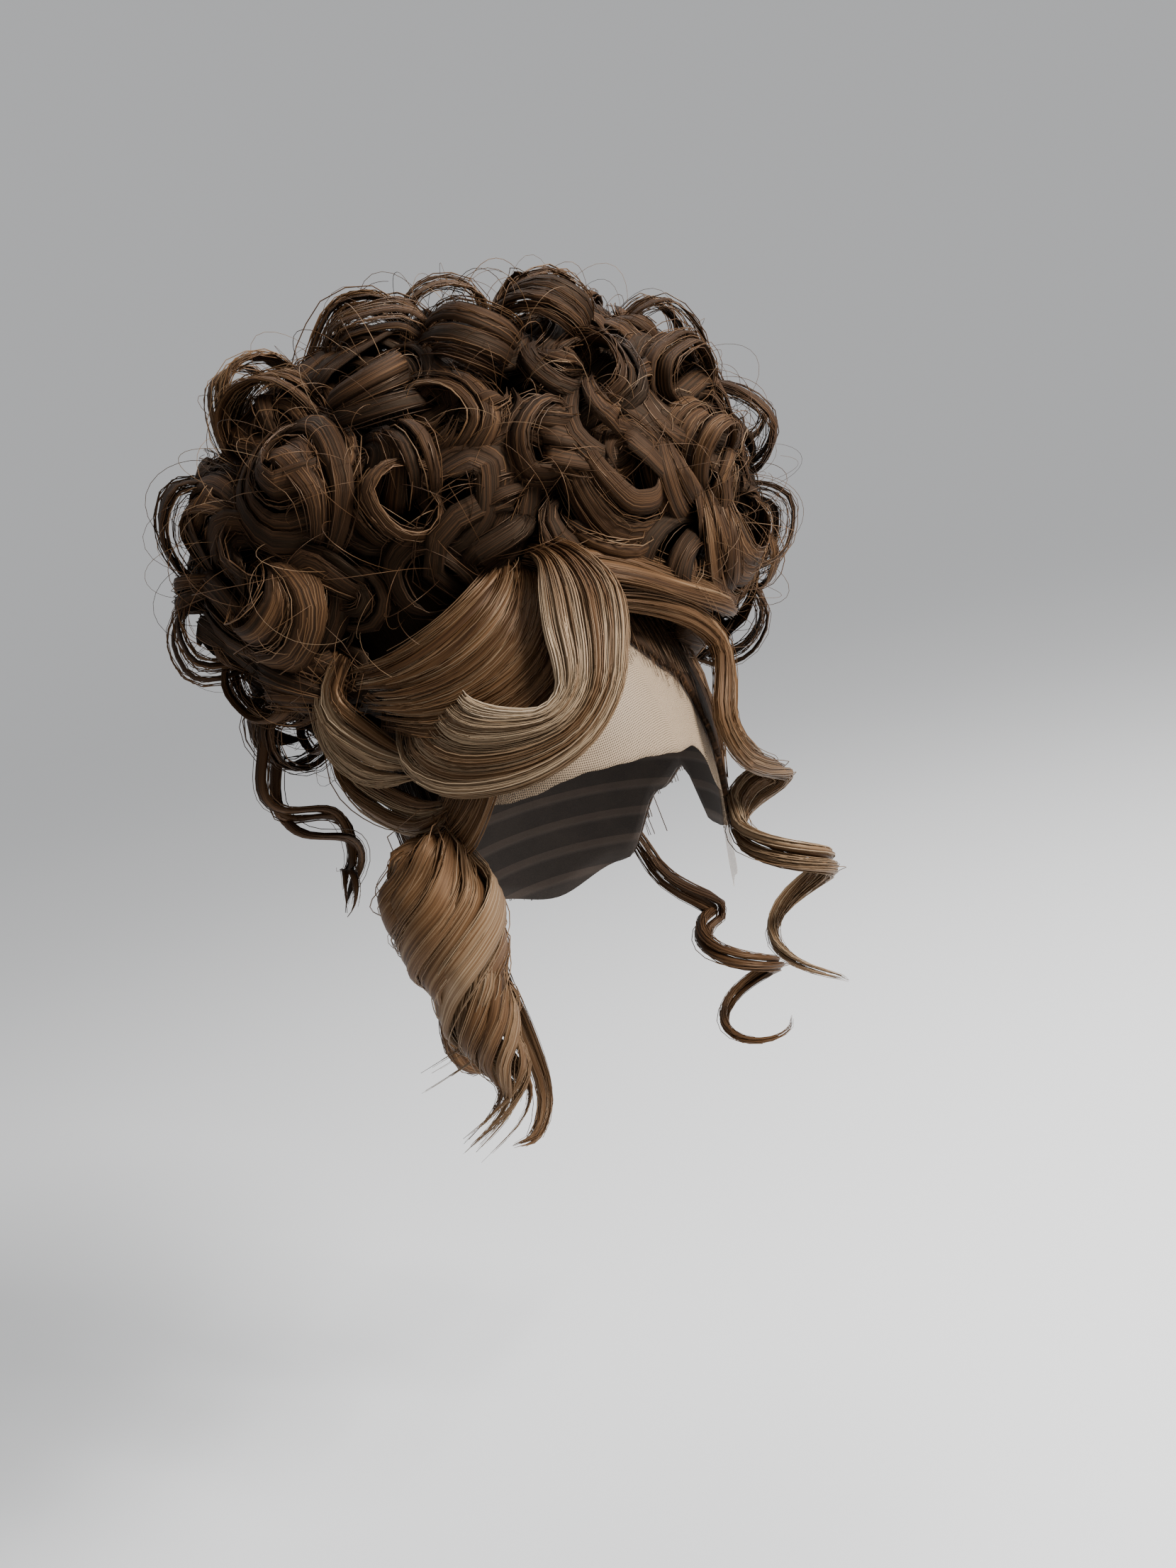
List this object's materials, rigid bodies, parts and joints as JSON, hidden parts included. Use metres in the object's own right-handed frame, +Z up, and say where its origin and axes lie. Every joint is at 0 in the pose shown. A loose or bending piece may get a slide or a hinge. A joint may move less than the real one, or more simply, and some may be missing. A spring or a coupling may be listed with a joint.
{
  "type": "updo wig",
  "caption": "Lace-front updo wig: curls pinned high on a stretch cap, a side-swept fringe and loose ringlets by the face and nape.",
  "frame": {"origin": "inside top of the cap, where the crown of a head seats", "axes": "+Z up, the face looks along -Y, +X to the viewer's right"},
  "size_m": [0.3418, 0.2664, 0.4837],
  "materials": {
    "cap_net": "matte stretch net with sewn rows",
    "front_lace": "sheer matte net",
    "dark_hair": "satin hair fibre",
    "light_hair": "satin hair fibre, lightened"
  },
  "bodies": {
    "root": {"cap": "cap_net", "lace_front": "front_lace", "hair_base": "dark_hair", "curl_pile": "dark_hair", "fringe_swoop": "light_hair", "fringe_panel": "light_hair", "fringe_curl": "light_hair", "temple_curl_left": "light_hair", "side_sweep_right": "dark_hair", "face_ringlet_right": "light_hair", "face_ringlet_left": "light_hair", "nape_ringlet_right": "dark_hair", "nape_lock_left": "dark_hair", "nape_roll_left": "dark_hair", "side_tendril_left": "dark_hair"}
  },
  "joints": []
}
